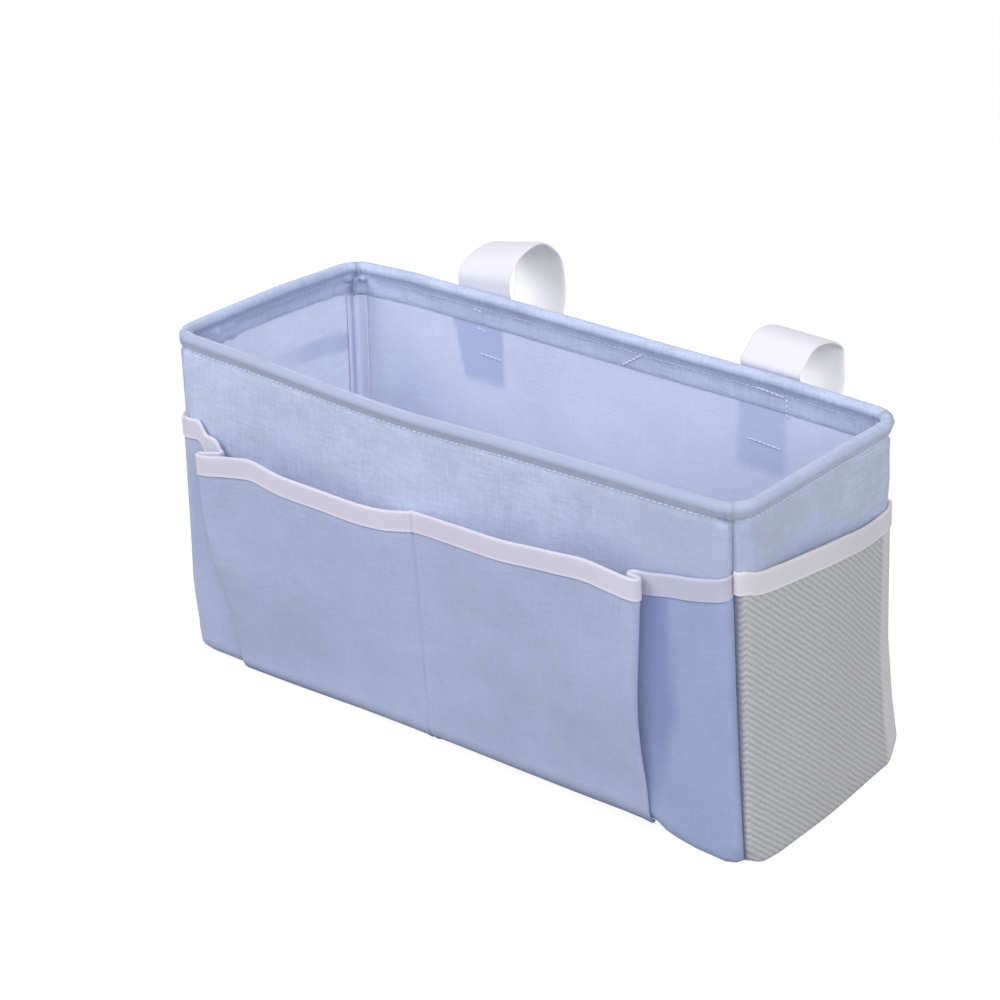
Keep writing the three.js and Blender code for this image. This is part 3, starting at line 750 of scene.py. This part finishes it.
def flow(value, places, heights):
    """A smooth curve through heights at places."""
    places, heights = np.array(places, float), np.array(heights, float)
    slopes = np.gradient(heights, places)
    i = np.clip(np.searchsorted(places, value) - 1, 0, len(places) - 2)
    wide = places[i + 1] - places[i]
    t = np.clip((value - places[i]) / wide, 0, 1)
    rise = t * t * (3 - 2 * t)
    bend = t * (1 - t) * wide * ((1 - t) * slopes[i] - t * slopes[i + 1])
    return lerp(heights[i], heights[i + 1], rise) + bend


def pocket_half(pleat, rise, height):
    """Half of the pocket in plan, from its corner seam to the middle seam: places along the wall,
    stand-offs and mouth heights. The rise is 0 at the foot and 1 at the mouth."""
    side = pleat["side"]
    opened = float(ease(rise, -0.06, 0.6))
    fold = lerp(pitch_base, pitch_mouth, opened) / 2
    bound = cloth / 2 + clearance
    ply = lerp(bound, bound + tape, opened)
    inner = float(flow(rise, *pleat["inner"]))
    outer = float(flow(rise, *pleat["outer"]))
    inner_mouth = pleat["inner"][1][-1]
    outer_mouth = pleat["outer"][1][-1]
    seam = float(seam_place("front", side, height))
    run = float(straight_run("front", side, height))
    length = outer_mouth - side * divider_place
    near = np.arange(0, 5, 0.4)
    away = np.linspace(5, length, 62)
    t = 1 - np.concatenate([near, away])[::-1][1:] / length
    turn = np.linspace(0, math.pi, 9)
    corner = np.linspace(seam, run, 9)
    first = np.linspace(run, inner + fold, 12)[1:-1]
    lean = ply_lean * opened
    leaning = lean * ease(first, run, inner)
    between = np.linspace(inner + fold, outer - fold, 8)[1:-1]
    slope = ease(t, 0, 1)
    ridges = 0.45 * (bump_at((1 - t) * length, 2.1, 0.8) - 0.8 * bump_at((1 - t) * length, 0, 0.9))
    gape = pocket_gape * rise ** 1.3 * np.sin(math.pi * t)
    waves = 0.7 * np.sin(t * 9.5 + side) * np.sin(math.pi * t) * rise
    main = lerp(outer - fold, side * divider_place, t)
    place = np.concatenate([corner, first, inner + fold - fold * np.sin(turn), between,
                            outer - fold + fold * np.sin(turn), main])
    off = np.concatenate([corner * 0 + ply, ply + leaning, ply + lean + fold * (1 - np.cos(turn)),
                          between * 0 + ply + lean + 2 * fold,
                          ply + lean + 2 * fold + fold * (1 - np.cos(turn)),
                          lerp(ply + lean + 4 * fold, ply, slope) + gape + ridges + waves])
    outer_drop = float(flow(outer_mouth, *pleat["main_mouth"]))
    inner_drop = float(flow(inner_mouth, *pleat["ply_mouth"]))
    main_place = lerp(outer_mouth, side * divider_place, t)
    ply_place = np.concatenate([corner, lerp(run, inner_mouth + pitch_mouth / 2,
                                             (run - first) / (run - inner - fold))])
    drop = np.concatenate([flow(ply_place, *pleat["ply_mouth"]), turn * 0 + inner_drop,
                           np.linspace(inner_drop, outer_drop, 8)[1:-1], turn * 0 + outer_drop,
                           flow(main_place, *pleat["main_mouth"])])
    return side * place, off, rim_height - drop


def pocket_line(rise, height):
    left = pocket_half(left_pleat, rise, height)
    right = pocket_half(right_pleat, rise, height)
    return [np.concatenate([a, b[::-1][1:]]) for a, b in zip(left, right)]


def mesh_line(side, mouth, gape):
    """The function that gives an end pocket's plan, from one corner seam to the other."""
    stations = np.concatenate([np.linspace(-2, -1, 9)[:-1], np.linspace(-1, 1, 60), np.linspace(1, 2, 9)[1:]])

    def line(rise, height):
        opened = 1 - (1 - rise) ** 2
        bound = mesh_cloth / 2 + clearance
        ply = lerp(bound, bound + tape, opened)
        place = place_of(side, stations, height)
        share = (place - place[0]) / (place[-1] - place[0])
        belly = np.where(np.abs(stations) <= 1, np.cos(stations * math.pi / 2), 0)
        return place, ply + gape * opened * belly, rim_height - flow(share, *mouth)

    return line


def pocket_middle(side, line):
    """The pocket's middle surface, from the foot, which turns in with the base edge, to the mouth."""
    rows = [(0.0, tilt) for tilt in np.linspace(1, 0, 8)]
    rows += [(rise, 0.0) for rise in np.linspace(0, 1, 56)[1:] ** 1.15]
    rows += [(1.0, -share) for share in (0.25, 0.5, 0.75, 1.0)]
    points = []
    for rise, tilt in rows:
        place, off, mouth = line(rise, lerp(9, divider_mouth - tape_width, rise))
        radius = edge_radius(side, station_of(side, place, 20.0))
        top = mouth - tape_width - 2
        if tilt >= 0:
            # The foot turns under as far as the base seam allows
            tilt = tilt * np.arcsin((radius - least_radius) / (radius + off))
            height = radius * (1 - np.sin(tilt))
            inset = radius * (1 - np.cos(tilt))
            height = height + (top - height) * rise
            leaning = tilt
        else:
            height = top + (tape_width + 2 - tape - clearance) * -tilt
            inset = 0
            leaning = 0
        stations = station_of(side, place, height)
        points.append(surface_point(side, stations, height, inset, leaning, -off))
    return np.stack(points)


def cut_of(middle, row):
    """The flat cut of a sheet: lengths along one of its rows, and up its middle column."""
    along = distances(middle[row])
    up = distances(middle[:, middle.shape[1] // 2])
    return np.stack(np.meshgrid(along, up), axis=-1)


def binding_middle(side, line, half):
    """Tape folded over the mouth: up the outer face, over the edge and down the inner face."""
    place, off, mouth = line(1.0, divider_mouth)
    plan = np.stack([place, off], axis=1)
    ahead = unit(np.gradient(plan, axis=0))
    across = np.stack([-ahead[:, 1], ahead[:, 0]], axis=1)
    leg = np.linspace(-tape_width, -half, 8)
    arc = np.linspace(0, math.pi, 9)[1:-1]
    wrap = [(half, lift) for lift in leg]
    wrap += [(half * math.cos(a), -half + half * math.sin(a)) for a in arc]
    wrap += [(-half, lift) for lift in leg[::-1]]
    rows = []
    for reach, lift in wrap:
        spot = plan + across * reach
        height = mouth + lift
        stations = station_of(side, spot[:, 0], height)
        rows.append(surface_point(side, stations, height, 0, 0, -spot[:, 1]))
    return np.stack(rows)


# The same linen-look cloth, given a colour a little darker than the walls'. The tape on its mouth is ribbed
# polyester binding, a cool white, paler along its lower edge.
pocket_cloth = linen("linen_pocket", "a3aecc", 0.09, painted_shade_colour="7386b7")
white_tape = taped("white_binding_tape", "c7c5d6", 0.0011, 0.00015, 0.03, painted_shade_colour="abadc6", pale_edge=0.14)

pocket = pocket_middle("front", pocket_line)
pocket_cut = cut_of(pocket, 30)
# Painted shade: the ply behind the right pleat is painted darker and bluer for the fold's shadow, the
# turned-under foot is painted darker, and so are the pocket's edges at the corner seams
ply_columns = 19
pocket_shade = np.zeros((2, *pocket.shape[:2]))
pocket_shade[0, :5] = np.array([0.9, 0.9, 0.8, 0.4, 0.1])[:, None]
under = pocket[:, -ply_columns:]
reach = np.interp(under[..., 2], [10, 25, 45, 65, 110], [119, 124, 128, 134, 131])
fold_shade = 0.45 * ease(under[..., 0], reach, reach - 6) * (0.3 + 0.7 * ease(under[..., 0], 118, 124))
pocket_shade[0, :, -ply_columns:] = np.maximum(pocket_shade[0, :, -ply_columns:], 0.38 + fold_shade)
pocket_shade[0, :, [0, -1]] = 0.9
piece = sheet_piece("pleated_pocket", pocket, pocket_cut, cloth, [pocket_cloth], shade=pocket_shade)
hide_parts("front_pocket")
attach(piece, "caddy")

pocket_tape = binding_middle("front", pocket_line, cloth / 2 + tape_room + tape / 2)
tape_cut = cut_of(pocket_tape, 3)
tape_shade = np.zeros((2, *pocket_tape.shape[:2]))
# Painted shade: the tape over the right pleat's ply is painted darker, in the fold's shadow
tape_shade[:, :, -ply_columns:] = 0.75
piece = sheet_piece("front_pocket_tape", pocket_tape, tape_cut, tape, [white_tape], shade=tape_shade)
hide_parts("front_pocket_binding")
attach(piece, "caddy")

# End pockets. Grey warp-knit mesh with fine slanted ribs, bound in the same white tape and sewn
# into the corner seams and the base seam.
mesh_cloth = 0.7
mesh_finish, tree = new_finish("grey_warp_knit_mesh")
cut = add_node(tree, "UVMap", uv_map="cut")
# Slanted ribs 2.37 mm apart, with a fine row of holes in each furrow between them, as waves per
# metre along Y and Z
rib_waves = (0, 275, 320)
hole_waves = (0, 480, -412)
spot = add_node(tree, "TexCoord")
# The ribs slant the other way in the narrow strip next to the front seam
shifted = add_node(tree, "VectorMath", {0: spot.outputs["Object"], 1: (0, 0.0565, 0)}, operation="ADD")
mirrored = add_node(tree, "VectorMath", {0: shifted}, operation="ABSOLUTE")
across_ribs, along_ribs = [
    add_node(tree, "VectorMath", {0: mirrored, 1: [2 * math.pi * wave for wave in waves]},
             operation="DOT_PRODUCT") for waves in (rib_waves, hole_waves)]
drift_place = add_node(tree, "Mapping", {"Vector": cut, "Scale": (160, 160, 1)})
drift = add_node(tree, "TexNoise", {"Vector": drift_place, "Scale": 1.0, "Detail": 2.0})
wavering = add_node(tree, "Math", {0: drift, 1: 3.0, 2: across_ribs.outputs["Value"]},
                    operation="MULTIPLY_ADD")
even_ribs = add_node(tree, "Math", {0: wavering}, operation="SINE")
patchy = add_node(tree, "MapRange", {0: drift, 1: 0.3, 2: 0.7, 3: 0.7, 4: 1.3})
ribs = add_node(tree, "Math", {0: even_ribs, 1: patchy}, operation="MULTIPLY")
holes = add_node(tree, "Math", {0: along_ribs.outputs["Value"]}, operation="SINE")
furrow = add_node(tree, "MapRange", {0: ribs, 1: 0.2, 2: -1.0, 3: 0.0, 4: 1.0})
dots = add_node(tree, "Math", {0: furrow, 1: holes}, operation="MULTIPLY")
place = add_node(tree, "Mapping", {"Vector": cut, "Scale": (600, 600, 1)})
fuzz = add_node(tree, "TexNoise", {"Vector": place, "Scale": 1.0, "Detail": 2.0})
height = add_node(tree, "Math", {0: dots, 1: -0.6, 2: ribs}, operation="MULTIPLY_ADD")
height = add_node(tree, "Math", {0: fuzz, 1: 2.6, 2: height}, operation="MULTIPLY_ADD")
tone = add_node(tree, "MapRange", {0: height, 1: 0.0, 2: 2.6, 3: 0.80, 4: 1.16})
# A paler band runs up the back edge
yarns = add_node(tree, "SeparateXYZ", {0: spot.outputs["Object"]})
pale_edge = add_node(tree, "MapRange", {0: yarns.outputs[1], 1: 0.0476, 2: 0.0502, 3: 0.0, 4: 0.75})
colour = add_node(tree, "Mix", {0: pale_edge, 6: toned(tree, "b0b1b6", tone), 7: linear("cecbd2")},
                  data_type="RGBA")
# Next to the corner seams the mesh is mixed towards dark grey, as painted shade in the seam's groove
soft_surface(tree, darkened(tree, colour.outputs[2], "666c88"), height, 0.3, 0.0003, 0.7, 0.1, 0.3)
# The same ribbed binding, a warmer white over the grey mesh
net_tape = taped("white_net_tape", "cfccd4", 0.0011, 0.00015, 0.03, pale_edge=0.1)
# How far each mouth lies below the rim, at shares of the way along it
net_mouths = {
    "left": ([0, 0.35, 0.7, 1], [36.5, 32.5, 37, 43]),
    "right": ([0, 0.035, 0.08, 0.18, 0.3, 0.53, 0.83, 0.92, 1],
              [28.2, 27.8, 29.6, 31, 32.3, 35.2, 40.4, 40.4, 38.8]),
}
for side in ("left", "right"):
    line = mesh_line(side, net_mouths[side], 3.4)
    middle = pocket_middle(side, line)
    cut = cut_of(middle, 30)
    # Painted shade along the seams: the first columns and the last one
    seam_shade = np.zeros((2, *middle.shape[:2]))
    seam_shade[:, :, :3] = (0.95, 0.85, 0.35)
    seam_shade[:, :, -1] = 0.5
    piece = sheet_piece(f"{side}_net_pocket", middle, cut, mesh_cloth, [mesh_finish], shade=seam_shade)
    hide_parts(f"{side}_mesh_pocket")
    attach(piece, "caddy")
    middle = binding_middle(side, line, mesh_cloth / 2 + tape_room + tape / 2)
    cut = cut_of(middle, 3)
    piece = sheet_piece(f"{side}_net_tape", middle, cut, tape, [net_tape])
    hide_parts(f"{side}_pocket_binding")
    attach(piece, "caddy")

# Hanging straps. White brushed-loop nylon, 32 mm wide, sewn to the back wall. Each rises over the
# rim, turns down behind round the rail and closes on its own root with hook and loop.
strap_width = 32
strap_thick = 1.4
patch_thick = 1
loop_drop = 40.5
root_drop = 41
stuck_drop = 15
touch_drop = 36
hem_room = 1
straps = {
    "left": {"place": -77, "rise": 19, "tilt": 3.2, "reach": (43.6, 43),
             "crest": ((0.055, 0.56), (0.25, 0.92), (0.60, 1), (0.90, 0.56))},
    "right": {"place": 89, "rise": 12.9, "tilt": -0.4, "reach": (37.6, 37),
              "crest": ((0.12, 0.50), (0.34, 0.98), (0.66, 0.93), (0.93, 0.50))},
}
# Knitted nylon, brushed on its outer face into a soft, even white nap and left smooth on its inner
# one. The inner face is painted near white, as painted light against the shade inside the loop.
# The hook tape is woven with rows of stiff hooks, 1.6 mm apart.
nylon = taped("brushed_nylon_loop", "d8d7e3", 0.0030, 0.0002, 0.01)
nylon_back_lit = taped("knit_nylon_back", "fdfcff", 0.0015, 0.0001, 0.01)
hooks = taped("nylon_hook_tape", "ecebf2", 0.0016, 0.0004, 0.06)


def strap_line(rise, crest, upper, lower):
    """Side outline of a strap in Y and Z: its rise over the rim, its crest as shares of rise and reach,
    and its reach behind the back wall in its upper and its lower half."""
    root = clearance + strap_thick / 2
    stuck = 4 * clearance + strap_thick * 1.5 + 2 * patch_thick
    bulge = wire_radius + 2 * clearance + hem_room - wire_depth + strap_thick / 2
    points = [(root, rim_height - root_drop), (root, rim_height - stuck_drop), (bulge, rim_height - 3),
              (bulge - 1.75, rim_height + 3.4)]
    points += [(upper * out, rim_height + rise * up) for out, up in crest]
    points += [(lower * out, rim_height - loop_drop * down)
               for out, down in ((1.0, 0), (1, 0.25), (0.93, 0.54), (0.74, 0.81), (0.46, 1), (0.24, 0.99))]
    points += [(stuck, lerp(rim_height - touch_drop, rim_height - stuck_drop, t)) for t in (0, 0.2, 0.6, 1)]
    return np.array(points) + (rim_outer_y, 0)


def smooth_line(points, steps):
    """A Catmull-Rom curve through the points, with its parameter in points."""
    padded = np.vstack([2 * points[0] - points[1], points, 2 * points[-1] - points[-2]])
    out = []
    for i in range(len(points) - 1):
        a, b, c, d = padded[i:i + 4]
        for t in np.linspace(0, 1, steps, endpoint=False):
            out.append(0.5 * (2 * b + (c - a) * t + (2 * a - 5 * b + 4 * c - d) * t * t
                              + (3 * b - a - 3 * c + d) * t ** 3))
    out.append(points[-1])
    return np.array(out)


split_point = 9
line_steps = 8
overlap = 4
for hand, strap in straps.items():
    lines = []
    across = np.sin(np.linspace(-math.pi / 2, math.pi / 2, 25))
    soft_edge = strap_thick * np.sqrt(1 - 0.97 * across ** 16)[None, :, None]
    for share in across:
        line = strap_line(strap["rise"], strap["crest"], *strap["reach"])
        line[:, 1] += strap["tilt"] * share * np.clip((line[:, 1] - rim_height) / strap["rise"], 0, 1)
        lines.append(smooth_line(line, line_steps))
    lines = np.stack(lines, axis=1)
    x = strap["place"] + across * strap_width / 2
    middle = join(x, lines[..., 0], lines[..., 1])
    cut = cut_of(middle, 0)
    tail = f"strap_{hand}_tail"
    turn_at = split_point * line_steps
    # The arch and the end run on inside each other for a few rows, so that no joint shows
    rows = np.arange(len(middle))[:, None, None]
    arch_thick = soft_edge * (1 - 0.4 * ease(rows, turn_at - overlap + 1, turn_at + overlap))
    end_thick = soft_edge * (0.6 + 0.4 * ease(rows, turn_at - overlap, turn_at + overlap - 1))
    arch_rows = slice(0, turn_at + overlap + 1)
    end_rows = slice(turn_at - overlap, None)
    arch = sheet_piece(f"strap_{hand}_arch", middle[arch_rows, ::-1], cut[arch_rows], arch_thick[arch_rows],
                       [nylon_back_lit, nylon])
    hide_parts(f"strap_{hand}_root", tail)
    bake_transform(arch)
    end = sheet_piece(f"strap_{hand}_end", middle[end_rows, ::-1], cut[end_rows], end_thick[end_rows],
                      [nylon_back_lit, nylon])
    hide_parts(tail)
    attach(end, tail)
    for layer, name, drop, body, finish in (
            (0, "loop_patch", 39, "caddy", nylon), (1, "hook_patch", 30, tail, hooks)):
        y = rim_outer_y + clearance * (2 + layer) + strap_thick + patch_thick * (0.5 + layer)
        z = np.linspace(rim_height - drop, rim_height - stuck_drop, 20)
        grid_x, grid_z = np.meshgrid(x[::-1], z)
        flat = join(grid_x, y, grid_z)
        patch = sheet_piece(f"strap_{hand}_{name}_pile", flat, flat[..., [0, 2]].copy(), patch_thick,
                            [finish])
        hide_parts(f"strap_{hand}_{name}")
        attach(patch, body)

# Sewing. White polyester thread in 3 mm stitches: round the hem, outside and in, and the ends of
# the rows that hold the strap roots, which show inside the back wall.
# Spun polyester thread: white outside the bag, and bluer in its shade inside
thread_finish = taped("polyester_thread", "c9d0e6", 0.0008, 0.0001, 0.03)


def stitches(name, runs, finish, pitch=3.0, length=2.3, wide=0.28):
    """Stitches along runs of points in mm. Each is a thread bent over the cloth, tucked in at its ends."""
    points, faces = [], []
    for run, outward in runs:
        run, outward = np.asarray(run, float), np.asarray(outward, float)
        along = distances(run)
        for start in np.arange(0, along[-1] - length + 0.01, pitch):
            spots = start + length * np.array([0, 0.2, 0.8, 1])
            line = np.stack([np.interp(spots, along, run[:, i]) for i in range(3)], axis=1)
            up = np.stack([np.interp(spots, along, outward[:, i]) for i in range(3)], axis=1)
            line = line + up * np.array([-0.25, 0.15, 0.15, -0.25])[:, None]
            side = unit(np.cross(line[-1] - line[0], up[0]))
            first = len(points)
            for spot, lift in zip(line, up):
                points += [spot + side * wide, spot + lift * wide, spot - side * wide,
                           spot - lift * wide]
            for ring in range(3):
                for k in range(4):
                    a, b = first + 4 * ring + k, first + 4 * ring + (k + 1) % 4
                    faces.append((a, a + 4, b + 4, b))
            faces += [tuple(range(first, first + 4)), tuple(range(first + 15, first + 11, -1))]
    piece = new_piece(name, points, faces, [finish], 80)
    piece.data.uv_layers.new(name="cut")
    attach(piece, "caddy")


def stitch_line(side, stations, heights, depth, sign):
    """A run on a wall, with its outward directions: sign 1 is outside, -1 is inside."""
    run = surface_point(side, stations, heights, 0, 0, depth)
    return run, sign * unit(surface_point(side, stations, heights, 0, 0, depth - 1.0) - run)


flap_face = flap_depth + cloth / 2 + 0.05
inner_thread = taped("polyester_thread_inside", "b3bdda", 0.0008, 0.0001, 0.03)
for name, depth, sign, finish in (("hem_thread", -0.05, 1, thread_finish),
                                  ("hem_thread_inside", flap_face, -1, inner_thread)):
    places = np.linspace(-1.75, 1.75, 160)
    hem_runs = [stitch_line(side, places, np.full(160, hem_stitch), depth, sign) for side in sides]
    stitches(name, hem_runs, finish)

# Marks of the strap sewing inside the back wall: places along X and heights
marks = (((-81, 160.5), (-76, 159.5)), ((-80, 150.5), (-73, 149)), ((-78.6, 137.5), (-64.7, 136.5)),
         ((-22, 163), (2, 163)), ((8, 153), (24, 164)), ((84, 162), (100, 160.6)),
         ((100.5, 160), (100.5, 150)), ((79, 135), (99, 134)))
mark_runs = []
for (x0, z0), (x1, z1) in marks:
    x = np.linspace(x0, x1, 12)
    z = np.linspace(z0, z1, 12)
    depth = np.where(z > rim_height - flap_drop, flap_face, cloth + 0.05)
    run = surface_point("back", station_of("back", -x, z), z, 0, 0, depth)
    mark_runs.append((run, np.broadcast_to((0.0, -1.0, 0.0), run.shape)))
stitches("strap_thread", mark_runs, thread_finish, pitch=2.6, length=2.4, wide=0.45)
